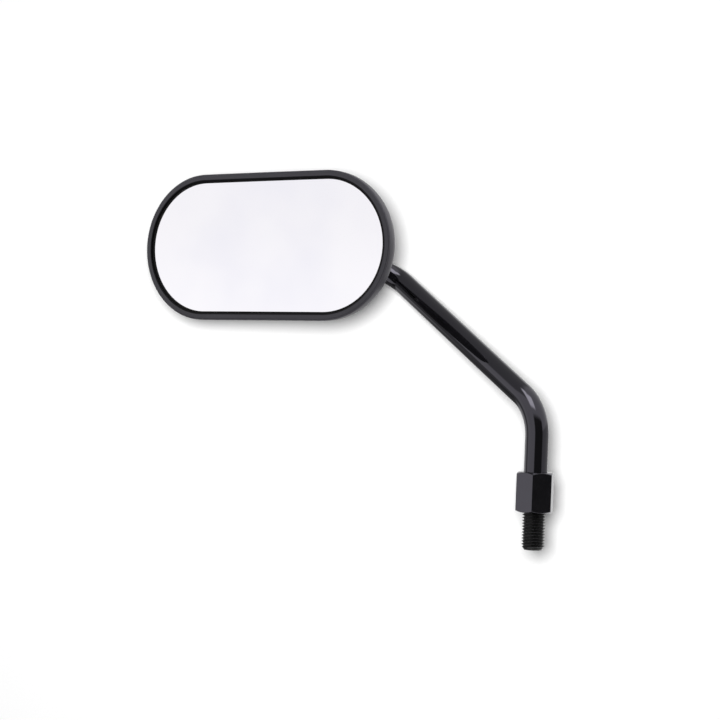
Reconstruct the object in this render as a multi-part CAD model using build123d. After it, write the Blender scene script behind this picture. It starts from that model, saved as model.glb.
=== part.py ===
"""Left-hand motorcycle mirror.

A bent stem with a threaded foot and a lock nut carries a round-ended head on a ball joint.

Millimetres. +Z runs up the thread's axis, the glass faces -Y, and the origin is the centre of the
lock nut's lower face. Head pieces are built in the head's own frame, whose origin is the middle of
the bezel's crowned front, with +Y going back into the head.
"""
from build123d import *
import math
import os

# Stem
rod_radius = 5.05
thread_radius = 4.88
thread_length = 16.0
thread_end_inset = 1.2
thread_end_chamfer = 1.6
lower_corner_height = 43.8
upper_corner_reach = 97.64
upper_corner_setback = 33.5
upper_corner_height = 106.25
lower_bend_radius = 21.0
upper_bend_radius = 16.2
neck_heading = 74.12
neck_climb = -1.08
neck_run = 10.13
neck_radius = 3.5
neck_length = 17.0
neck_taper = 1.5

# Lock nut
nut_across_flats = 15.0
nut_height = 17.0
nut_turn = 11.6
nut_clearance = 0.05
nut_chamfer_angle = 30.0
nut_chamfer_inset = 0.25

# Ball and liners
ball_radius = 8.0
spigot_depth = 4.5
spigot_clearance = 0.02
ball_clearance = 0.04
liner_wall = 1.46
liner_clearance = 0.05
rear_liner_mouth_angle = 32.0
rear_liner_edge_angle = 85.0
front_liner_half_angle = 65.0

# Head outline: every ring shares these straight sides and differs in its end radius
half_straight = 32.24
rim_radius = 33.02
rim_edge = 0.55
bezel_face = 3.31
head_roll = -0.82

# Bezel, seal, glass and what backs it
seal_band = 0.87
seal_height = 0.45
bezel_thickness = 0.85
bezel_outer_round = 0.3
bezel_inner_round = 0.3
skirt_wall = 0.9
skirt_depth = 2.4
skirt_clearance = 0.05
glass_overlap = 1.6
glass_clearance = 0.2
glass_recess = 1.25
glass_curvature = 1200.0
glass_thickness = 2.0
foam_thinnest = 0.9
foam_inset = 1.5
carrier_thickness = 1.5
carrier_inset = 0.8
carrier_clearance = 0.2
ledge_width = 1.6
flatness = 0.001

# Housing shell
shell_wall = 2.2
side_depth = 3.3
shoulder_radius = 11.5
shoulder_turn = 60.0
rim_step = 0.2
rim_round = 0.4
rebate_clearance = 0.1

# Knuckle that holds the ball
ball_right = 14.31
ball_standoff = 1.69
knuckle_wall = 2.95
knuckle_margin = 1.6
knuckle_root = 2.0
knuckle_fillet = 4.0
knuckle_to_shoulder = 2.02
mouth_throat = 1.0
mouth_half_angle = 34.0
tube_wall = 2.4

# Clamp plate, screws and washers
dimple_half_angle = 43.0
clamp_thickness = 1.5
clamp_gap = 0.3
flange_margin = 1.9
lobe_radius = 3.8
screw_angles = (90.0, 205.0, 335.0)
screw_radius = 1.5
screw_clearance = 0.02
screw_hole_clearance = 0.25
screw_web = 1.45
screw_engagement = 4.0
screw_tip_clearance = 0.3
screw_head_radius = 2.8
screw_head_height = 2.2
recess_length = 3.7
recess_width = 0.8
recess_depth = 1.2
boss_radius = 3.2
washer_thickness = 1.0
washer_radius = 2.9
washer_split = 0.7

# Worked out from the sizes above
lower_corner = Vector(0, 0, lower_corner_height)
upper_corner = Vector(-upper_corner_reach, upper_corner_setback, upper_corner_height)
neck_level = math.cos(math.radians(neck_climb))
neck_way = Vector(
    -neck_level * math.cos(math.radians(neck_heading)),
    -neck_level * math.sin(math.radians(neck_heading)),
    math.sin(math.radians(neck_climb)),
)
upper_bend_angle = neck_way.get_angle(upper_corner - lower_corner)
upper_bend_tangent = upper_bend_radius * math.tan(math.radians(upper_bend_angle / 2))
ball_centre = upper_corner + neck_way * (upper_bend_tangent + neck_run + neck_length)
pocket_radius = ball_radius + ball_clearance + liner_wall + liner_clearance
liner_inner = ball_radius + ball_clearance
liner_outer = liner_inner + liner_wall
neck_axis = -neck_way
bezel_radius = rim_radius - rim_edge
sight_radius = bezel_radius - bezel_face
lip_radius = sight_radius + seal_band
glass_radius = sight_radius + glass_overlap
skirt_inner = glass_radius + glass_clearance
skirt_outer = skirt_inner + skirt_wall
front_curvature = glass_curvature + glass_recess
bezel_reach = half_straight + bezel_radius
bezel_sag = front_curvature - math.sqrt(front_curvature**2 - bezel_reach**2)
bezel_seat = bezel_sag + bezel_thickness
skirt_end = bezel_seat + skirt_depth
glass_reach = half_straight + glass_radius
glass_sag = glass_curvature - math.sqrt(glass_curvature**2 - glass_reach**2)
carrier_front = glass_recess + glass_thickness + glass_sag + foam_thinnest
carrier_back = carrier_front + carrier_thickness
carrier_radius = glass_radius - carrier_inset
ledge_radius = carrier_radius + carrier_clearance - ledge_width
shoulder_centre = rim_radius - shoulder_radius
shoulder_end_radius = shoulder_centre + shoulder_radius * math.cos(math.radians(shoulder_turn))
shoulder_end_depth = side_depth + shoulder_radius * math.sin(math.radians(shoulder_turn))
crown_radius = shoulder_end_radius / math.cos(math.radians(shoulder_turn))
crown_centre = shoulder_end_depth - crown_radius * math.sin(math.radians(shoulder_turn))
crown_depth = crown_centre + crown_radius
ball_depth = crown_depth + ball_standoff
knuckle_radius = pocket_radius + knuckle_wall
screw_circle = pocket_radius + screw_web + screw_radius
knuckle_base = screw_circle + screw_radius + knuckle_margin
knuckle_reach = shoulder_end_radius - knuckle_to_shoulder
ball_up = knuckle_base + knuckle_fillet - knuckle_reach
crown_drop = crown_radius - math.sqrt(crown_radius**2 - knuckle_reach**2)
knuckle_skirt = crown_drop + knuckle_root
clamp_back = ball_depth - pocket_radius * math.cos(math.radians(dimple_half_angle))
clamp_front = clamp_back - clamp_thickness
boss_top = clamp_back + clamp_gap
screw_tip = boss_top + screw_engagement
washer_front = clamp_front - washer_thickness
head_place = Pos(*ball_centre) * Rot(0, head_roll, 0) * Pos(-ball_right, -ball_depth, -ball_up)
neck_in_head = neck_axis.rotate(Axis.Y, -head_roll)
ball_in_head = Vector(ball_right, ball_depth, ball_up)
screw_places = [
    (
        ball_right + screw_circle * math.cos(math.radians(angle)),
        ball_up + screw_circle * math.sin(math.radians(angle)),
    )
    for angle in screw_angles
]


def depth_plane(depth):
    """Plane across the head at a depth behind the bezel's front, seen from the rider's side."""
    return Plane(origin=(0, depth, 0), x_dir=(1, 0, 0), z_dir=(0, -1, 0))


def slab(sketch, front, back):
    """Prism through the head between two depths."""
    return extrude(depth_plane(front) * sketch, amount=front - back)


def outline(radius):
    """Round-ended outline of the head at an end radius."""
    return SlotCenterToCenter(2 * half_straight, 2 * radius)


def disc(place, radius):
    """Circle at a place across the head."""
    return Pos(*place) * Circle(radius)


def dome(radial_offset, front):
    """Solid back of the head, shrunk inwards by an offset, from a front depth to its crown."""
    shoulder = shoulder_radius - radial_offset
    crown = crown_radius - radial_offset
    side = shoulder_centre + shoulder
    turn = math.radians(shoulder_turn)
    half_turn = turn / 2
    rest = (math.pi / 2 + turn) / 2

    def on_shoulder(angle):
        return (shoulder_centre + shoulder * math.cos(angle), side_depth + shoulder * math.sin(angle))

    shoulder_mid = on_shoulder(half_turn)
    shoulder_end = on_shoulder(turn)
    crown_mid = (crown * math.cos(rest), crown_centre + crown * math.sin(rest))
    top = (0, crown_centre + crown)
    edges = [
        Line((0, front), (side, front)),
        Line((side, front), (side, side_depth)),
        ThreePointArc((side, side_depth), shoulder_mid, shoulder_end),
        ThreePointArc(shoulder_end, crown_mid, top),
        Line(top, (0, front)),
    ]
    profile = make_face(edges)
    upright = Plane(origin=(half_straight, 0, 0), x_dir=(0, 0, 1), z_dir=(-1, 0, 0))
    section = upright * profile
    half = extrude(section, amount=2 * half_straight)
    right_end = revolve(section, Axis((half_straight, 0, 0), (0, 1, 0)), 180)
    left_end = mirror(right_end, Plane.YZ)
    return half + mirror(half, Plane.XY) + right_end + left_end


def crowned(depth):
    """Sphere about the glass's centre of curvature, reaching to a depth behind the bezel's front."""
    return Pos(0, front_curvature, 0) * Sphere(front_curvature - depth)


def along_neck():
    """Plane at the ball's centre whose normal runs out along the neck."""
    return Plane(origin=ball_centre, z_dir=neck_axis)


def spherical_zone(low_angle, high_angle, inner, outer):
    """Ring or cap of a spherical shell between two angles from +Z, centred on the origin."""
    middle = (low_angle + high_angle) / 2

    def point(radius, angle):
        return (radius * math.sin(math.radians(angle)), 0, radius * math.cos(math.radians(angle)))

    edges = [
        ThreePointArc(point(outer, low_angle), point(outer, middle), point(outer, high_angle)),
        Line(point(outer, high_angle), point(inner, high_angle)),
        ThreePointArc(point(inner, high_angle), point(inner, middle), point(inner, low_angle)),
        Line(point(inner, low_angle), point(outer, low_angle)),
    ]
    return revolve(make_face(edges), Axis.Z, 360)


def make_stem():
    """Bent rod with its thread below and its turned neck and spigot at the ball."""
    shoulder = ball_centre + neck_axis * neck_length
    bends = [lower_bend_radius, upper_bend_radius]
    path = FilletPolyline((0, 0, 0), lower_corner, upper_corner, shoulder, radius=bends)
    rod = sweep(Plane.XY * Circle(rod_radius), path=path)
    thread_top = -thread_length + thread_end_chamfer
    tip_radius = thread_radius - thread_end_inset
    thread = extrude(Plane.XY * Circle(thread_radius), amount=thread_top)
    chamfer_middle = thread_top - thread_end_chamfer / 2
    tip = Pos(0, 0, chamfer_middle) * Cone(tip_radius, thread_radius, thread_end_chamfer)
    taper_start = neck_length - neck_taper
    neck = extrude(Circle(neck_radius), amount=taper_start + spigot_depth)
    taper = Pos(0, 0, taper_start + neck_taper / 2) * Cone(neck_radius, rod_radius, neck_taper)
    return rod + thread + tip + along_neck() * (Pos(0, 0, -spigot_depth) * neck + taper)


def make_ball():
    """Steel ball with the blind bore that takes the spigot."""
    blind = -spigot_depth - spigot_clearance
    bore = extrude(Circle(neck_radius + spigot_clearance), amount=2 * ball_radius)
    return along_neck() * (Sphere(ball_radius) - Pos(0, 0, blind) * bore)


def make_lock_nut():
    """Long hexagon nut, chamfered at both ends, with a plain bore over the rod."""
    corner_radius = nut_across_flats / math.sqrt(3)
    hexagon = Rot(0, 0, -nut_turn) * RegularPolygon(corner_radius, 6, rotation=0)
    blank = extrude(Plane.XY * hexagon, amount=nut_height)
    face_radius = nut_across_flats / 2 - nut_chamfer_inset
    rise = (corner_radius - face_radius) * math.tan(math.radians(nut_chamfer_angle))
    edges = Polyline(
        (0, 0),
        (face_radius, 0),
        (corner_radius, rise),
        (corner_radius, nut_height - rise),
        (face_radius, nut_height),
        (0, nut_height),
        close=True,
    )
    envelope = revolve(Plane.XZ * make_face(edges), Axis.Z, 360)
    bore = extrude(Plane.XY * Circle(rod_radius + nut_clearance), amount=nut_height)
    return (blank & envelope) - bore


def make_rear_liner():
    """Nylon ring around the neck side of the ball."""
    zone = spherical_zone(rear_liner_mouth_angle, rear_liner_edge_angle, liner_inner, liner_outer)
    return along_neck() * zone


def make_front_liner():
    """Nylon cap on the ball's far side from the neck."""
    return along_neck() * spherical_zone(180 - front_liner_half_angle, 180, liner_inner, liner_outer)


def make_bezel():
    """Crowned front ring with a lip over the glass seal and a skirt that snaps into the housing."""
    cover = slab(outline(bezel_radius), 0, bezel_seat) & crowned(0)
    cover = fillet(front_edges(cover, bezel_radius), bezel_outer_round)
    face = cover - slab(outline(lip_radius), 0, bezel_seat)
    face = fillet(front_edges(face, lip_radius), bezel_inner_round)
    face -= slab(outline(skirt_inner), 0, bezel_seat) & crowned(glass_recess - seal_height)
    skirt = slab(outline(skirt_outer) - outline(skirt_inner), bezel_seat, skirt_end)
    return face + skirt


def front_edges(solid, radius):
    """Edges that run round a head piece's crowned front at an end radius."""
    found = []
    for edge in solid.edges():
        middle = edge.position_at(0.5)
        beyond = max(abs(middle.X) - half_straight, 0)
        at_radius = abs(math.hypot(beyond, middle.Z) - radius) < flatness
        at_front = middle.Y < bezel_seat - bezel_thickness / 2
        runs_round = abs(edge.tangent_at(0.5).Y) < 0.5
        if at_radius and at_front and runs_round:
            found.append(edge)
    return found


def make_glass_seal():
    """Black ring of even height between the bezel's lip and the curved glass."""
    ring = slab(outline(glass_radius) - outline(sight_radius), 0, carrier_front)
    return (ring & crowned(glass_recess - seal_height)) - crowned(glass_recess)


def make_mirror_glass():
    """Convex glass of even thickness."""
    blank = slab(outline(glass_radius), 0, carrier_front)
    return (blank & crowned(glass_recess)) - crowned(glass_recess + glass_thickness)


def make_foam_pad():
    """Foam that fills the space between the curved glass and its flat carrier."""
    blank = slab(outline(glass_radius - foam_inset), 0, carrier_front)
    return blank & crowned(glass_recess + glass_thickness)


def make_glass_carrier():
    """Flat plate that backs the glass and rests on the housing's ledge."""
    return slab(outline(carrier_radius), carrier_front, carrier_back)


def make_knuckle():
    """Rounded cone on the back of the head, around the ball."""
    base_angle = math.atan2(-ball_standoff, knuckle_base)
    base_distance = math.hypot(knuckle_base, ball_standoff)
    tangent = base_angle + math.acos(knuckle_radius / base_distance)
    half = (tangent + math.pi / 2) / 2
    foot = -ball_standoff - knuckle_skirt
    foot_radius = knuckle_base + knuckle_skirt * math.tan(tangent)
    touch = (knuckle_radius * math.cos(tangent), knuckle_radius * math.sin(tangent))
    bulge = (knuckle_radius * math.cos(half), knuckle_radius * math.sin(half))
    edges = [
        Line((0, foot), (foot_radius, foot)),
        Line((foot_radius, foot), touch),
        ThreePointArc(touch, bulge, (0, knuckle_radius)),
        Line((0, knuckle_radius), (0, foot)),
    ]
    return Pos(*ball_in_head) * revolve(make_face(edges), Axis.Y, 360)


def make_housing():
    """Back shell with its bezel rebate, carrier ledge, knuckle, ball pocket and screw bosses."""
    back = dome(0, 0)
    knuckle = make_knuckle()
    outer = back + knuckle
    outer = fillet(new_edges(back, knuckle, combined=outer), knuckle_fillet) & crowned(rim_step)
    outer = fillet(front_edges(outer, rim_radius), rim_round)
    shell = outer - slab(outline(bezel_radius + skirt_clearance), 0, bezel_seat)
    shell -= slab(outline(skirt_outer + skirt_clearance), bezel_seat, skirt_end + rebate_clearance)
    shell -= slab(outline(skirt_inner), bezel_seat, carrier_front)
    shell -= slab(outline(carrier_radius + carrier_clearance), bezel_seat, carrier_back)
    shell -= dome(shell_wall, 0) & slab(outline(ledge_radius), carrier_back, crown_depth)
    ball_place = (ball_right, ball_up)
    supports = slab(disc(ball_place, pocket_radius + tube_wall), boss_top, crown_depth)
    for place in screw_places:
        supports += slab(disc(place, boss_radius), boss_top, crown_depth)
    shell += supports & outer
    shell -= slab(disc(ball_place, pocket_radius), boss_top, ball_depth)
    shell -= Pos(*ball_in_head) * Sphere(pocket_radius)
    hole_end = screw_tip + screw_tip_clearance
    for place in screw_places:
        shell -= slab(disc(place, screw_radius + screw_clearance), boss_top, hole_end)
    mouth_length = 2 * knuckle_radius
    mouth_radius = mouth_throat + mouth_length * math.tan(math.radians(mouth_half_angle))
    mouth = Pos(0, 0, mouth_length / 2) * Cone(mouth_throat, mouth_radius, mouth_length)
    return shell - Plane(origin=ball_in_head, z_dir=neck_in_head) * mouth


def make_clamp_plate():
    """Stamped plate with a round dimple over the ball and a lobe for each screw."""
    dimple = Pos(*ball_in_head) * Sphere(pocket_radius + clamp_thickness)
    dimple_rim = pocket_radius * math.sin(math.radians(dimple_half_angle))
    flange = disc((ball_right, ball_up), dimple_rim + clamp_thickness + flange_margin)
    for place in screw_places:
        flange += disc(place, lobe_radius)
    plate = slab(flange, clamp_front, clamp_back)
    plate += dimple & slab(disc((ball_right, ball_up), pocket_radius), 0, clamp_back)
    plate -= Pos(*ball_in_head) * Sphere(pocket_radius)
    for place in screw_places:
        plate -= slab(disc(place, screw_radius + screw_hole_clearance), 0, clamp_back)
    return plate


def make_clamp_screw(place):
    """Pan-head screw with a cross recess."""
    head = slab(disc(place, screw_head_radius), washer_front - screw_head_height, washer_front)
    shank = slab(disc(place, screw_radius), washer_front, screw_tip)
    arm = Rectangle(recess_length, recess_width)
    cross = Pos(*place) * (arm + Rot(0, 0, 90) * arm)
    recess_back = washer_front - screw_head_height + recess_depth
    return head + shank - slab(cross, 0, recess_back)


def make_spring_washer(place):
    """Split ring under a screw's head."""
    ring = disc(place, washer_radius) - disc(place, screw_radius + screw_hole_clearance)
    split = Pos(*place) * Pos(washer_radius / 2, 0) * Rectangle(washer_radius, washer_split)
    return slab(ring - split, washer_front, clamp_front)


pieces = {
    "stem": make_stem(),
    "ball": make_ball(),
    "lock_nut": make_lock_nut(),
    "rear_liner": make_rear_liner(),
    "front_liner": make_front_liner(),
    "housing": head_place * make_housing(),
    "bezel": head_place * make_bezel(),
    "glass_seal": head_place * make_glass_seal(),
    "mirror_glass": head_place * make_mirror_glass(),
    "foam_pad": head_place * make_foam_pad(),
    "glass_carrier": head_place * make_glass_carrier(),
    "clamp_plate": head_place * make_clamp_plate(),
}
for number, place in enumerate(screw_places, start=1):
    pieces[f"clamp_screw_{number}"] = head_place * make_clamp_screw(place)
    pieces[f"spring_washer_{number}"] = head_place * make_spring_washer(place)

os.makedirs("parts", exist_ok=True)
for name, piece in pieces.items():
    export_step(piece, f"parts/{name}.step")
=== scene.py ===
import math

import bpy
from mathutils import Matrix, Vector


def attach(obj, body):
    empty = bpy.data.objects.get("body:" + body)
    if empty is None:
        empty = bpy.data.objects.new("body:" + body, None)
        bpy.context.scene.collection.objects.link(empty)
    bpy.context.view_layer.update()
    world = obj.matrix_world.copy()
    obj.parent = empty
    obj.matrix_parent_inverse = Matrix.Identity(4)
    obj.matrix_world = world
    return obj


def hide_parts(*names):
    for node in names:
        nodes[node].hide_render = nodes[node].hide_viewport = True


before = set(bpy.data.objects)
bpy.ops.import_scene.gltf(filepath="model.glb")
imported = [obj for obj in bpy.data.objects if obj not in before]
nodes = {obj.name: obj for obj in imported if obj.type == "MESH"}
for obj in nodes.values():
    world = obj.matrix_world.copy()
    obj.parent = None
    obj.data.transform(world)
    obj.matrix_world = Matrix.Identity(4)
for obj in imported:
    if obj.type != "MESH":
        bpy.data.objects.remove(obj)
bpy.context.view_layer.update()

scene = bpy.context.scene

# Sizes in metres; those that the CAD has too are as in the part's source
MM = 0.001
ROD_RADIUS = 5.05 * MM
THREAD_RADIUS = 4.88 * MM
THREAD_LENGTH = 16.0 * MM
THREAD_CHAMFER = 1.6 * MM
THREAD_TIP_INSET = 1.2 * MM
THREAD_PITCH = 1.25 * MM
THREAD_DEPTH = 0.70 * MM
# Depth under the crest over which the thread is painted lighter, a painted highlight on the crests
CREST_GLINT_BAND = 0.14 * MM
LOWER_CORNER = Vector((0, 0, 43.8 * MM))
UPPER_CORNER = Vector((-97.64 * MM, 33.5 * MM, 106.25 * MM))
BALL_CENTRE = Vector((-109.747 * MM, -9.057 * MM, 105.416 * MM))
LOWER_BEND = 21.0 * MM
UPPER_BEND = 16.2 * MM
NECK_RADIUS = 3.5 * MM
NECK_LENGTH = 17.0 * MM
NECK_TAPER = 1.5 * MM
SPIGOT_DEPTH = 4.5 * MM
NUT_FLAT = 7.5 * MM
NUT_HEIGHT = 17.0 * MM
NUT_BORE = 5.1 * MM
NUT_TURN = math.radians(-11.6)
NUT_CHAMFER = math.radians(30.0)
NUT_FACE_RADIUS = 7.25 * MM
NUT_BORE_ENTRY = 0.35 * MM
NUT_CORNER_BLEND = 0.035 * MM
HALF_STRAIGHT = 32.24 * MM
BEZEL_INNER = 30.03 * MM
HEAD_ROLL = math.radians(-0.82)
# Width and soft edge of the black band along the bezel's inner edge, which is painted shade
SHADE_BAND_WIDTH = 0.5 * MM
SHADE_BAND_FADE = 0.15 * MM

# Half flats of the thread's crest and root, as shares of half a pitch from the crest
CREST_END = 0.14
ROOT_START = 0.80

# Counts of points round a ring and of rings along a stretch
STEM_ROUND = 96
THREAD_ROWS = 288
FOOT_ROWS = 4
BEND_ROWS = 56
SLOPE_ROWS = 40
TAPER_ROWS = 6
NECK_ROWS = 8
NUT_ROUND = 240
NUT_END_ROWS = 26
NUT_WALL_ROWS = 24
# Stretch of the fine rows at each end of the nut, in heights of its chamfer
NUT_END_SPAN = 1.25
# Rings on the thread's end face, as shares of its radius
END_FACE_SHARES = (0.35, 0.92, 1.0)
# Least cosine between a turn and a side of the nut that still bounds it there
NUT_SIDE_FACING = 0.3

# Angles over which an edge of the stem or of the nut is shown sharp
STEM_SHARP = math.radians(35)
NUT_SHARP = math.radians(40)

# Camera as fitted to the photograph
CAMERA_PLACE = Vector((339.81 * MM, -713.91 * MM, 61.82 * MM))
CAMERA_AIM = Vector((-0.515, 0.857, 0.0)).normalized()
CAMERA_ROLL = math.radians(2.2)
CAMERA_LENS = 92.5
CAMERA_SENSOR = 36.0
CAMERA_NEAR = 10 * MM


def direction(azimuth, elevation):
    """Unit vector toward an azimuth, where 0 is -Y and 90 is +X, and an elevation."""
    a = math.radians(azimuth)
    e = math.radians(elevation)
    return Vector((math.sin(a) * math.cos(e), -math.cos(a) * math.cos(e), math.sin(e)))


# Span in which nearly all values of a noise lie
NOISE_LOW = 0.3
NOISE_HIGH = 0.7


class Graph:
    """Short calls for building one node tree."""

    def __init__(self, tree):
        self.tree = tree
        tree.nodes.clear()

    def add(self, kind, inputs=None, **settings):
        node = self.tree.nodes.new(kind)
        for key, value in settings.items():
            setattr(node, key, value)
        for key, value in (inputs or {}).items():
            self.feed(node.inputs[key], value)
        return node

    def feed(self, socket, value):
        if isinstance(value, bpy.types.NodeSocket):
            self.tree.links.new(value, socket)
        else:
            socket.default_value = value

    def math(self, operation, a, b=0.0):
        node = self.add("ShaderNodeMath", operation=operation)
        self.feed(node.inputs[0], a)
        self.feed(node.inputs[1], b)
        return node.outputs[0]

    def remap(self, value, low, high, to_low=0.0, to_high=1.0, smooth=True):
        kind = "SMOOTHSTEP" if smooth else "LINEAR"
        node = self.add("ShaderNodeMapRange", interpolation_type=kind, clamp=True)
        self.feed(node.inputs[0], value)
        for slot, number in zip((1, 2, 3, 4), (low, high, to_low, to_high)):
            self.feed(node.inputs[slot], number)
        return node.outputs[0]

    def spread(self, noise, to_low=0.0, to_high=1.0):
        """Noise stretched from its usual span to another one."""
        return self.remap(noise, NOISE_LOW, NOISE_HIGH, to_low, to_high)

    def mix(self, factor, a, b):
        """Mix of two colours, which are sockets 6 and 7 of the node."""
        node = self.add("ShaderNodeMix", data_type="RGBA")
        self.feed(node.inputs[0], factor)
        self.feed(node.inputs[6], a)
        self.feed(node.inputs[7], b)
        return node.outputs[2]

    def place(self):
        return self.add("ShaderNodeTexCoord").outputs["Object"]

    def split(self, vector):
        """X, Y and Z of a vector."""
        return self.add("ShaderNodeSeparateXYZ", {"Vector": vector}).outputs

    def hypotenuse(self, a, b):
        """Length of the long side of a right triangle."""
        square = self.math("ADD", self.math("MULTIPLY", a, a), self.math("MULTIPLY", b, b))
        return self.math("SQRT", square)

    def noise(self, scale, detail=2.0, roughness=0.5):
        inputs = {"Vector": self.place(), "Scale": scale, "Detail": detail, "Roughness": roughness}
        return self.add("ShaderNodeTexNoise", inputs).outputs["Fac"]

    def cells(self, scale):
        node = self.add("ShaderNodeTexVoronoi", {"Vector": self.place(), "Scale": scale}, feature="F1")
        return node.outputs["Distance"]

    def bump(self, height, distance, strength):
        node = self.add("ShaderNodeBump", {"Height": height, "Distance": distance, "Strength": strength})
        return node.outputs["Normal"]


def rgb(red, green, blue):
    return (red, green, blue, 1.0)


def material(name):
    """New node material with an empty tree."""
    made = bpy.data.materials.new(name)
    made.use_nodes = True
    return made, Graph(made.node_tree)


def close(graph, inputs):
    """Surface shader and output of a material."""
    shader = graph.add("ShaderNodeBsdfPrincipled", inputs)
    graph.add("ShaderNodeOutputMaterial", {"Surface": shader.outputs[0]})
    return shader


# Faint violet of the light that the dark finishes throw back, painted into their specular tint in place of a
# violet light
PAINTED_VIOLET_SHEEN = rgb(0.88, 0.845, 1.0)
PLASTIC_IOR = 1.46
PLASTIC_SHINE = 0.55
# Gloss of the bezel's painted shade band
SHADE_BAND_SHINE = 0.11


def make_gloss_paint():
    made, g = material("gloss_black_paint")
    cloud = g.noise(scale=90.0, detail=3.0)
    speck = g.remap(g.noise(scale=2600.0), 0.55, 0.8, to_low=0.0, to_high=0.02)
    close(g, {
        "Base Color": g.mix(g.spread(cloud), rgb(0.0030, 0.0030, 0.0033), rgb(0.0048, 0.0047, 0.0051)),
        "Roughness": g.math("ADD", g.spread(cloud, 0.035, 0.055), speck),
        "Normal": g.bump(g.noise(scale=650.0), distance=0.03 * MM, strength=0.12),
        "Specular IOR Level": 0.79,
        "Specular Tint": PAINTED_VIOLET_SHEEN,
    })
    return made


def make_thread_black():
    made, g = material("thread_black")
    spot = g.split(g.place())
    crest = g.remap(g.hypotenuse(spot[0], spot[1]), THREAD_RADIUS - CREST_GLINT_BAND, THREAD_RADIUS)
    # Crests painted lighter in patches: painted highlight standing in for glints on the thread
    painted_glint = g.math("MULTIPLY", crest, g.remap(g.noise(scale=900.0, detail=4.0), 0.40, 0.72))
    close(g, {
        "Base Color": g.mix(painted_glint, rgb(0.006, 0.006, 0.0062), rgb(0.028, 0.027, 0.028)),
        "Roughness": g.spread(g.noise(scale=1500.0, detail=3.0), 0.24, 0.40),
        "Normal": g.bump(g.noise(scale=4000.0), distance=0.02 * MM, strength=0.3),
        "Specular IOR Level": 0.35,
    })
    return made


def make_nut_paint():
    made, g = material("satin_black_nut")
    cloud = g.noise(scale=220.0, detail=3.0)
    grain = g.noise(scale=3200.0, detail=3.0, roughness=0.6)
    close(g, {
        "Base Color": g.mix(g.spread(cloud), rgb(0.0030, 0.0030, 0.0032), rgb(0.0052, 0.0051, 0.0054)),
        "Roughness": g.spread(g.noise(scale=700.0, detail=4.0), 0.11, 0.17),
        "Normal": g.bump(grain, distance=0.02 * MM, strength=0.15),
        "Specular IOR Level": 1.0,
        "Specular Tint": PAINTED_VIOLET_SHEEN,
    })
    return made


def moulded(g, dark, pale, rough_low, rough_high, grain_scale, grain_height):
    """Looks of a dark plastic with a fine spark-eroded grain."""
    cloud = g.noise(scale=55.0, detail=3.0)
    grain = g.noise(scale=grain_scale, detail=3.0, roughness=0.6)
    pits = g.cells(scale=grain_scale * 0.55)
    mottle = g.math("ADD", g.math("MULTIPLY", cloud, 0.6), g.math("MULTIPLY", grain, 0.4))
    height = g.math("ADD", g.math("MULTIPLY", grain, 0.65), g.math("MULTIPLY", pits, 0.35))
    return {
        "Base Color": g.mix(g.spread(mottle), dark, pale),
        "Roughness": g.spread(grain, rough_low, rough_high),
        "Normal": g.bump(height, grain_height, strength=0.5),
        "IOR": PLASTIC_IOR,
        "Specular IOR Level": PLASTIC_SHINE,
        "Specular Tint": PAINTED_VIOLET_SHEEN,
    }


def make_moulded(name, *grain):
    made, g = material(name)
    close(g, moulded(g, *grain))
    return made


def make_bezel_plastic(name, *grain):
    """Moulded plastic with a narrow black band along its inner edge by the glass: painted shade of that
    rounded edge, which is also less glossy.
    """
    made, g = material(name)
    looks = moulded(g, *grain)
    corners = [Vector(corner) for corner in nodes["bezel"].bound_box]
    centre = sum(corners, Vector()) / len(corners)
    turned = {"Vector": g.place(), "Location": centre, "Rotation": (0.0, HEAD_ROLL, 0.0)}
    spot = g.split(g.add("ShaderNodeMapping", turned, vector_type="TEXTURE").outputs[0])
    past = g.math("MAXIMUM", g.math("SUBTRACT", g.math("ABSOLUTE", spot[0]), HALF_STRAIGHT), 0.0)
    edge = BEZEL_INNER + SHADE_BAND_WIDTH
    # Black band along the inner edge: painted shade of the rounded edge beside the glass
    painted_shade = g.remap(g.hypotenuse(past, spot[2]), edge - SHADE_BAND_FADE, edge + SHADE_BAND_FADE, to_low=1.0, to_high=0.0)
    looks["Base Color"] = g.mix(painted_shade, looks["Base Color"], rgb(0.004, 0.004, 0.0042))
    shader = close(g, looks)
    g.feed(shader.inputs["Specular IOR Level"], g.remap(painted_shade, 0.0, 1.0, PLASTIC_SHINE, SHADE_BAND_SHINE))
    return made


def make_rubber():
    made, g = material("seal_rubber_black")
    grain = g.noise(scale=1800.0, detail=3.0)
    close(g, {
        "Base Color": g.mix(g.spread(grain), rgb(0.0035, 0.0035, 0.0036), rgb(0.0075, 0.0074, 0.0076)),
        "Roughness": g.spread(grain, 0.55, 0.7),
        "Normal": g.bump(grain, distance=0.03 * MM, strength=0.4),
        "Specular IOR Level": 0.1,
    })
    return made


def make_mirror():
    made, g = material("silvered_glass")
    reflection_clouds = g.noise(scale=26.0)
    film = g.noise(scale=700.0, detail=3.0)
    close(g, {
        # Broad clouds between two faintly blue tints: painted reflection, standing in for the uneven light
        # that the glass shows
        "Base Color": g.mix(g.spread(reflection_clouds), rgb(0.912, 0.900, 0.962), rgb(0.965, 0.950, 0.990)),
        "Metallic": 1.0,
        "Roughness": g.remap(film, 0.4, 0.8, to_low=0.012, to_high=0.03),
    })
    return made


def make_zinc(name, scale):
    made, g = material(name)
    spangle = g.cells(scale)
    fine = g.noise(scale=2500.0, detail=3.0)
    close(g, {
        "Base Color": g.mix(g.remap(spangle, 0.0, 0.8), rgb(0.56, 0.56, 0.58), rgb(0.70, 0.70, 0.71)),
        "Metallic": 1.0,
        "Roughness": g.spread(fine, 0.24, 0.40),
        "Normal": g.bump(fine, distance=0.02 * MM, strength=0.25),
    })
    return made


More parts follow.
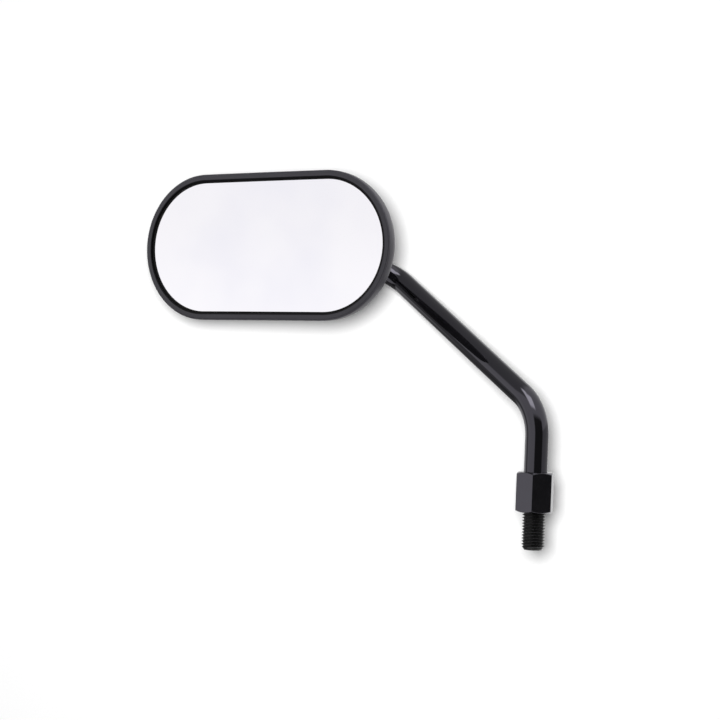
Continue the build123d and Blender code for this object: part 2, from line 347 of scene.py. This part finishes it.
def make_nylon():
    made, g = material("natural_nylon")
    cloud = g.noise(scale=240.0, detail=3.0)
    close(g, {
        "Base Color": g.mix(g.spread(cloud), rgb(0.72, 0.70, 0.62), rgb(0.80, 0.78, 0.71)),
        "Roughness": g.spread(cloud, 0.32, 0.44),
        "Normal": g.bump(g.noise(scale=1600.0), distance=0.02 * MM, strength=0.3),
        "IOR": 1.53,
    })
    return made


def make_foam():
    made, g = material("closed_cell_foam")
    cells = g.cells(scale=1100.0)
    close(g, {
        "Base Color": g.mix(g.remap(cells, 0.0, 0.7), rgb(0.10, 0.10, 0.105), rgb(0.19, 0.19, 0.20)),
        "Roughness": 0.9,
        "Normal": g.bump(cells, distance=0.2 * MM, strength=0.6),
    })
    return made


def add_piece(name, points, faces, finishes, finish_of_face, sharp):
    """Smooth mesh piece, sharp at edges over an angle; finish_of_face numbers each face's finish."""
    mesh = bpy.data.meshes.new(name)
    mesh.from_pydata([tuple(point) for point in points], [], faces)
    for made in finishes:
        mesh.materials.append(made)
    mesh.polygons.foreach_set("material_index", finish_of_face)
    mesh.shade_smooth()
    mesh.set_sharp_from_angle(angle=sharp)
    mesh.validate()
    piece = bpy.data.objects.new(name, mesh)
    scene.collection.objects.link(piece)
    return piece


def strip(row, next_row, count):
    """Faces between two rings of equal count, given by their numbers."""
    faces = []
    for k in range(count):
        n = (k + 1) % count
        faces.append((row * count + k, row * count + n, next_row * count + n, next_row * count + k))
    return faces


def circle(centre, across, up, radius, count):
    turn = 2 * math.pi / count
    return [centre + (across * math.cos(k * turn) + up * math.sin(k * turn)) * radius for k in range(count)]


def bend(before, corner, after, radius, steps):
    """Centres and headings along the arc that rounds a corner of the rod."""
    come = (corner - before).normalized()
    leave = (after - corner).normalized()
    angle = come.angle(leave)
    tangent = radius * math.tan(angle / 2)
    start = corner - come * tangent
    axis = come.cross(leave).normalized()
    inward = axis.cross(come).normalized()
    hub = start + inward * radius
    stops = []
    for k in range(steps + 1):
        turn = Matrix.Rotation(angle * k / steps, 3, axis)
        stops.append((hub + turn @ (start - hub), turn @ come))
    return stops


def thread_radius(height, turn):
    """Radius of the thread's flank at a height and a turn in radians."""
    phase = (height / THREAD_PITCH - turn / (2 * math.pi)) % 1.0
    from_crest = abs(phase - 0.5) * 2
    slope = (from_crest - CREST_END) / (ROOT_START - CREST_END)
    return THREAD_RADIUS - THREAD_DEPTH * min(max(slope, 0.0), 1.0)


def make_thread():
    """Rings of the thread, from the middle of its end face up to the lock nut's bottom."""
    across = Vector((1, 0, 0))
    beside = Vector((0, 1, 0))
    tip = THREAD_RADIUS - THREAD_TIP_INSET
    end = Vector((0, 0, -THREAD_LENGTH))
    rings = [circle(end, across, beside, share * tip, STEM_ROUND) for share in END_FACE_SHARES]
    for row in range(1, THREAD_ROWS):
        height = -THREAD_LENGTH + THREAD_LENGTH * row / THREAD_ROWS
        climb = (height + THREAD_LENGTH) / THREAD_CHAMFER
        limit = tip + THREAD_TIP_INSET * climb if climb < 1 else THREAD_RADIUS
        ring = []
        for k in range(STEM_ROUND):
            turn = 2 * math.pi * k / STEM_ROUND
            radius = min(thread_radius(height, turn), limit)
            ring.append(Vector((math.cos(turn) * radius, math.sin(turn) * radius, height)))
        rings.append(ring)
    return rings


def rod_stops():
    """Centres, headings and radii along the rod, from the thread to the spigot in the ball."""
    foot = Vector((0, 0, 0))
    up = Vector((0, 0, 1))
    neck_way = (BALL_CENTRE - UPPER_CORNER).normalized()
    shoulder = BALL_CENTRE - neck_way * NECK_LENGTH
    lower = bend(foot, LOWER_CORNER, UPPER_CORNER, LOWER_BEND, BEND_ROWS)
    upper = bend(LOWER_CORNER, UPPER_CORNER, BALL_CENTRE, UPPER_BEND, BEND_ROWS)
    stops = [(foot, up, THREAD_RADIUS - THREAD_DEPTH), (foot, up, ROD_RADIUS)]
    for k in range(1, FOOT_ROWS + 2):
        stops.append((Vector((0, 0, NUT_HEIGHT * k / FOOT_ROWS)), up, ROD_RADIUS))
    stops += [(centre, heading, ROD_RADIUS) for centre, heading in lower]
    for k in range(1, SLOPE_ROWS):
        centre = lower[-1][0].lerp(upper[0][0], k / SLOPE_ROWS)
        stops.append((centre, lower[-1][1], ROD_RADIUS))
    stops += [(centre, heading, ROD_RADIUS) for centre, heading in upper]
    stops.append((shoulder, neck_way, ROD_RADIUS))
    for k in range(1, TAPER_ROWS + 1):
        share = k / TAPER_ROWS
        radius = ROD_RADIUS + (NECK_RADIUS - ROD_RADIUS) * share
        stops.append((shoulder + neck_way * NECK_TAPER * share, neck_way, radius))
    for k in range(1, NECK_ROWS + 1):
        run = NECK_TAPER + (NECK_LENGTH + SPIGOT_DEPTH - NECK_TAPER) * k / NECK_ROWS
        stops.append((shoulder + neck_way * run, neck_way, NECK_RADIUS))
    return stops


def make_stem():
    """Thread, rod, bends and neck as one closed skin, painted on the rod and blacked on the thread."""
    rings = make_thread()
    thread_strips = len(rings)
    heading = Vector((0, 0, 1))
    across = Vector((1, 0, 0))
    beside = Vector((0, 1, 0))
    for centre, new_heading, radius in rod_stops():
        turn = heading.rotation_difference(new_heading)
        across = turn @ across
        beside = turn @ beside
        heading = new_heading
        rings.append(circle(centre, across, beside, radius, STEM_ROUND))
    faces = []
    for row in range(len(rings) - 1):
        faces += strip(row, row + 1, STEM_ROUND)
    painted, blacked = 0, 1
    rod_strips = len(rings) - 1 - thread_strips
    finish_of_face = [blacked] * (thread_strips * STEM_ROUND) + [painted] * (rod_strips * STEM_ROUND)
    points = [point for ring in rings for point in ring]
    foot_hub = len(points)
    points.append(sum(rings[0], Vector()) / STEM_ROUND)
    points.append(sum(rings[-1], Vector()) / STEM_ROUND)
    last = (len(rings) - 1) * STEM_ROUND
    for k in range(STEM_ROUND):
        n = (k + 1) % STEM_ROUND
        faces.append((foot_hub, n, k))
        faces.append((foot_hub + 1, last + k, last + n))
        finish_of_face += [blacked, painted]
    return add_piece("stem_rod", points, faces, [GLOSS, THREAD], finish_of_face, STEM_SHARP)


def soft_least(values, blend):
    """Least of some values, rounded off where two of them meet."""
    lowest = min(values)
    return lowest - blend * math.log(sum(math.exp((lowest - value) / blend) for value in values))


def make_nut():
    """Hexagon with softened corners, chamfered ends and a bore."""
    corner = NUT_FLAT / math.cos(math.pi / 6)
    slope = math.tan(NUT_CHAMFER)
    fine_span = NUT_END_SPAN * (corner - NUT_FACE_RADIUS) * slope
    sides = [NUT_TURN + math.radians(30 + 60 * k) for k in range(6)]
    turns = [2 * math.pi * k / NUT_ROUND for k in range(NUT_ROUND)]

    def reach(turn, height):
        """Radius of the outside at a turn and a height."""
        facing = [math.cos(turn - side) for side in sides]
        flats = [NUT_FLAT / cosine for cosine in facing if cosine > NUT_SIDE_FACING]
        from_end = min(height, NUT_HEIGHT - height)
        cone = NUT_FACE_RADIUS + from_end / slope
        return soft_least(flats + [cone], NUT_CORNER_BLEND)

    def ring(radii, height):
        """Points at one height, with a radius for each turn."""
        pairs = zip(turns, radii)
        return [Vector((math.cos(turn) * radius, math.sin(turn) * radius, height)) for turn, radius in pairs]

    ends = [fine_span * k / NUT_END_ROWS for k in range(NUT_END_ROWS + 1)]
    heights = list(ends)
    for k in range(1, NUT_WALL_ROWS):
        heights.append(fine_span + (NUT_HEIGHT - 2 * fine_span) * k / NUT_WALL_ROWS)
    heights += [NUT_HEIGHT - height for height in reversed(ends)]
    bore = [(NUT_BORE, NUT_HEIGHT / 2), (NUT_BORE, NUT_BORE_ENTRY), (NUT_BORE + NUT_BORE_ENTRY, 0.0)]
    rings = [ring([radius] * NUT_ROUND, height) for radius, height in bore]
    rings += [ring([reach(turn, height) for turn in turns], height) for height in heights]
    rings += [ring([radius] * NUT_ROUND, NUT_HEIGHT - height) for radius, height in reversed(bore)]
    faces = []
    for row in range(len(rings)):
        faces += strip(row, (row + 1) % len(rings), NUT_ROUND)
    points = [point for one in rings for point in one]
    return add_piece("hex_nut", points, faces, [NUT], [0] * len(faces), NUT_SHARP)


GLOSS = make_gloss_paint()
THREAD = make_thread_black()
NUT = make_nut_paint()
# Dark and pale tone, least and greatest roughness, scale and height of the grain
BEZEL_GRAIN = (rgb(0.026, 0.0255, 0.028), rgb(0.034, 0.033, 0.0365), 0.46, 0.58, 3400.0, 0.03 * MM)
# The housing's tones are paler than the bezel's, in part as painted light for the brighter light on its side
# wall
SHELL_GRAIN = (rgb(0.045, 0.0435, 0.049), rgb(0.058, 0.056, 0.063), 0.40, 0.50, 2600.0, 0.04 * MM)
CARRIER_GRAIN = (rgb(0.020, 0.020, 0.020), rgb(0.030, 0.030, 0.030), 0.50, 0.62, 1500.0, 0.03 * MM)
BEZEL = make_bezel_plastic("bezel_grain", *BEZEL_GRAIN)
SHELL = make_moulded("housing_grain", *SHELL_GRAIN)
CARRIER = make_moulded("carrier_grain", *CARRIER_GRAIN)
RUBBER = make_rubber()
MIRROR = make_mirror()
PLATE_ZINC = make_zinc("zinc_plate", 320.0)
SCREW_ZINC = make_zinc("zinc_screw", 900.0)
NYLON = make_nylon()
FOAM = make_foam()

finishes = {
    "ball": PLATE_ZINC,
    "rear_liner": NYLON,
    "front_liner": NYLON,
    "housing": SHELL,
    "bezel": BEZEL,
    "glass_seal": RUBBER,
    "mirror_glass": MIRROR,
    "foam_pad": FOAM,
    "glass_carrier": CARRIER,
    "clamp_plate": PLATE_ZINC,
}
for number in (1, 2, 3):
    finishes[f"clamp_screw_{number}"] = SCREW_ZINC
    finishes[f"spring_washer_{number}"] = SCREW_ZINC
for name, made in finishes.items():
    slots = nodes[name].data.materials
    slots.clear()
    slots.append(made)

stem = make_stem()
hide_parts("stem")
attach(stem, "stem")
nut = make_nut()
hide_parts("lock_nut")
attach(nut, "lock_nut")

# Camera
camera_data = bpy.data.cameras.new("camera")
camera_data.lens = CAMERA_LENS
camera_data.sensor_width = CAMERA_SENSOR
camera_data.clip_start = CAMERA_NEAR
camera = bpy.data.objects.new("camera", camera_data)
scene.collection.objects.link(camera)
level_right = CAMERA_AIM.cross(Vector((0, 0, 1))).normalized()
level_up = level_right.cross(CAMERA_AIM)
image_right = level_right * math.cos(CAMERA_ROLL) + level_up * math.sin(CAMERA_ROLL)
image_up = level_up * math.cos(CAMERA_ROLL) - level_right * math.sin(CAMERA_ROLL)
turned = Matrix((image_right, image_up, -CAMERA_AIM)).transposed().to_4x4()
camera.matrix_world = Matrix.Translation(CAMERA_PLACE) @ turned
scene.camera = camera

# Point that lamps and cloths face
PART_MIDDLE = Vector((-85 * MM, 0.0, 60 * MM))

# Pale wall behind, turned so that the whole part stands about as far from it, and pale floor
WALL_BACK = 66 * MM
WALL_TURN = math.radians(14.0)
WALL_MIDDLE = Vector((-110 * MM, WALL_BACK, 60 * MM))
WALL_HALF_WIDTH = 700 * MM
WALL_HALF_HEIGHT = 600 * MM
WALL_FADE = 250 * MM
FLOOR_LOW = -150 * MM
FLOOR_HALF_DEPTH = 500 * MM
FLOOR_MIDDLE = Vector((WALL_MIDDLE.x, WALL_BACK - FLOOR_HALF_DEPTH + WALL_FADE, FLOOR_LOW))
# Stretch that the camera sees, where the far left end is paler to even out the lamp beside the camera
PALER_FROM = 160 * MM
PALER_TO = -190 * MM
PALER_TONE = 0.95
WALL_TONE = 0.75


def board(name, half_width, half_height, placed):
    """Flat rectangle in its own XY plane, part of the stage."""
    corners = [(-half_width, -half_height), (half_width, -half_height)]
    corners += [(half_width, half_height), (-half_width, half_height)]
    mesh = bpy.data.meshes.new(name)
    mesh.from_pydata([(x, y, 0.0) for x, y in corners], [], [(0, 1, 2, 3)])
    piece = bpy.data.objects.new(name, mesh)
    piece.matrix_world = placed
    scene.collection.objects.link(piece)
    piece.visible_diffuse = False
    piece.visible_shadow = False
    return piece


def fading(g, half_width, half_height, fade):
    """1 on a board, falling to 0 along its edges."""
    spot = g.split(g.place())
    wide = g.remap(g.math("ABSOLUTE", spot[0]), half_width - fade, half_width, to_low=1.0, to_high=0.0)
    tall = g.remap(g.math("ABSOLUTE", spot[1]), half_height - fade, half_height, to_low=1.0, to_high=0.0)
    return g.math("MULTIPLY", wide, tall)


def cover(piece, made, g, shader, share):
    """Gives a board its material, which shows a shader by a share and is clear for the rest."""
    clear = g.add("ShaderNodeBsdfTransparent")
    seen = g.add("ShaderNodeMixShader", {0: share, 1: clear.outputs[0], 2: shader.outputs[0]})
    g.add("ShaderNodeOutputMaterial", {"Surface": seen.outputs[0]})
    piece.data.materials.append(made)


def make_wall():
    """Wall that is seen from its front only, and not in reflections."""
    upright = Matrix.Translation(WALL_MIDDLE) @ Matrix.Rotation(math.pi / 2, 4, "X")
    placed = Matrix.Rotation(WALL_TURN, 4, "Z") @ upright
    piece = board("wall", WALL_HALF_WIDTH, WALL_HALF_HEIGHT, placed)
    made, g = material("pale_paper")
    pale = g.remap(g.split(g.place())[0], PALER_TO, PALER_FROM, PALER_TONE, WALL_TONE, smooth=False)
    tone = g.math("MULTIPLY", pale, g.spread(g.noise(scale=900.0), 0.99, 1.0))
    paper = g.add("ShaderNodeBsdfDiffuse", {"Color": tone})
    front = g.math("SUBTRACT", 1.0, g.add("ShaderNodeNewGeometry").outputs["Backfacing"])
    share = g.math("MULTIPLY", front, fading(g, WALL_HALF_WIDTH, WALL_HALF_HEIGHT, WALL_FADE))
    cover(piece, made, g, paper, share)
    piece.visible_glossy = False
    piece.visible_transmission = False
    return piece


def make_floor():
    """Pale floor under the part, from the wall forward, not in reflections."""
    placed = Matrix.Rotation(WALL_TURN, 4, "Z") @ Matrix.Translation(FLOOR_MIDDLE)
    piece = board("floor", WALL_HALF_WIDTH, FLOOR_HALF_DEPTH, placed)
    made, g = material("pale_floor")
    tone = g.mix(g.noise(scale=700.0), rgb(0.88, 0.88, 0.88), rgb(0.90, 0.90, 0.90))
    paint = g.add("ShaderNodeBsdfDiffuse", {"Color": tone})
    cover(piece, made, g, paint, fading(g, WALL_HALF_WIDTH, FLOOR_HALF_DEPTH, WALL_FADE))
    piece.visible_glossy = False
    piece.visible_transmission = False


def aimed(place, aim):
    """Placing of a lamp or a board at a place, facing a point."""
    return Matrix.Translation(place) @ (aim - place).to_track_quat("-Z", "Y").to_matrix().to_4x4()


def make_cloth(name, azimuth, elevation, half_width, half_height, fade, share, glow=0.0, turn=0.0):
    """Soft-edged cloth, dark or lit, that hides a share of the white world in reflections alone."""
    facing = aimed(PART_MIDDLE + direction(azimuth, elevation) * CLOTH_FAR, PART_MIDDLE)
    piece = board(name, half_width, half_height, facing @ Matrix.Rotation(turn, 4, "Z"))
    made, g = material(name + "_cloth")
    weave = g.noise(scale=60.0)
    if glow:
        cloth = g.add("ShaderNodeEmission", {"Strength": g.spread(weave, 0.98 * glow, glow)})
    else:
        tone = g.mix(weave, rgb(0.01, 0.01, 0.01), rgb(0.02, 0.02, 0.02))
        cloth = g.add("ShaderNodeBsdfDiffuse", {"Color": tone})
    cover(piece, made, g, cloth, g.math("MULTIPLY", fading(g, half_width, half_height, fade), share))
    piece.visible_camera = False


def make_lamp(name, place, size, power):
    """Round soft lamp aimed at the part, left out of reflections."""
    data = bpy.data.lights.new(name, "AREA")
    data.energy = power
    data.shape = "DISK"
    data.size = size
    lamp = bpy.data.objects.new(name, data)
    lamp.matrix_world = aimed(place, PART_MIDDLE)
    lamp.visible_camera = False
    lamp.visible_glossy = False
    scene.collection.objects.link(lamp)
    return lamp


wall = make_wall()
make_floor()

# Black cloths beside the camera, on the left and low down, grey ones far right and over the left, and
# a faint one that the glass shows: azimuth, elevation, half width, half height, fade and share hidden
CLOTH_FAR = 2.0
make_cloth("right_flag", 46, 1, 1.75, 1.4, 0.55, 0.95)
make_cloth("far_right_flag", 125, -8, 2.2, 0.8, 0.25, 0.45)
make_cloth("left_flag", -76, -8, 0.45, 0.75, 0.2, 0.7)
make_cloth("low_flag", -104, -40, 1.4, 1.05, 0.3, 0.84)
make_cloth("high_flag", -98, 66, 2.3, 1.25, 0.5, 0.6)
make_cloth("pale_flag", -34, 10, 0.7, 0.36, 0.3, 0.055)

# Lit cloths that the bends of the rod show
make_cloth("key_cloth", 24, 55, 0.75, 0.62, 0.35, 1.0, glow=4.4, turn=math.radians(9))
make_cloth("top_cloth", -4, 67, 0.36, 0.36, 0.3, 1.0, glow=4.5)

# World: white behind everything that the camera, metal and glass show, and a low fill for the rest
FILL = 0.20
world = bpy.data.worlds.new("studio")
world.use_nodes = True
scene.world = world
g = Graph(world.node_tree)
path = g.add("ShaderNodeLightPath")
mirrored = g.math("MAXIMUM", path.outputs["Is Glossy Ray"], path.outputs["Is Transmission Ray"])
shown = g.math("MAXIMUM", path.outputs["Is Camera Ray"], mirrored)
strength = g.remap(shown, 0.0, 1.0, FILL, 1.0, smooth=False)
sky = g.add("ShaderNodeBackground", {"Strength": strength, "Color": rgb(1.0, 1.0, 1.0)})
g.add("ShaderNodeOutputWorld", {"Surface": sky.outputs[0]})

# Lamps on the part and the floor, two soft boxes and a key: azimuth, elevation, width and watts
LAMP_FAR = 1.5
PART_LAMPS = {
    "left_box": (-30, 12, 1.0, 12.8),
    "right_box": (105, 35, 1.0, 13.7),
    "key": (27, 50, 0.7, 6.6),
}
part_lamps = []
for name, (azimuth, elevation, width, watts) in PART_LAMPS.items():
    place = PART_MIDDLE + direction(azimuth, elevation) * LAMP_FAR
    part_lamps.append(make_lamp(name, place, width, watts))

# Lamp beside the camera that throws the part's soft shadow on the wall alone
SHADOW_LIFT = 29 * MM
SHADOW_LEFT = 30 * MM
SHADOW_WIDTH = 130 * MM
SHADOW_WATTS = 9.3
shadow_place = CAMERA_PLACE + image_up * SHADOW_LIFT - image_right * SHADOW_LEFT
shadow_lamp = make_lamp("shadow_lamp", shadow_place, SHADOW_WIDTH, SHADOW_WATTS)
for lamp in [shadow_lamp] + part_lamps:
    lit = bpy.data.collections.new(lamp.name + "_lit")
    lit.objects.link(wall)
    lit.collection_objects[0].light_linking.link_state = "INCLUDE" if lamp == shadow_lamp else "EXCLUDE"
    lamp.light_linking.receiver_collection = lit

scene.view_settings.view_transform = "Standard"
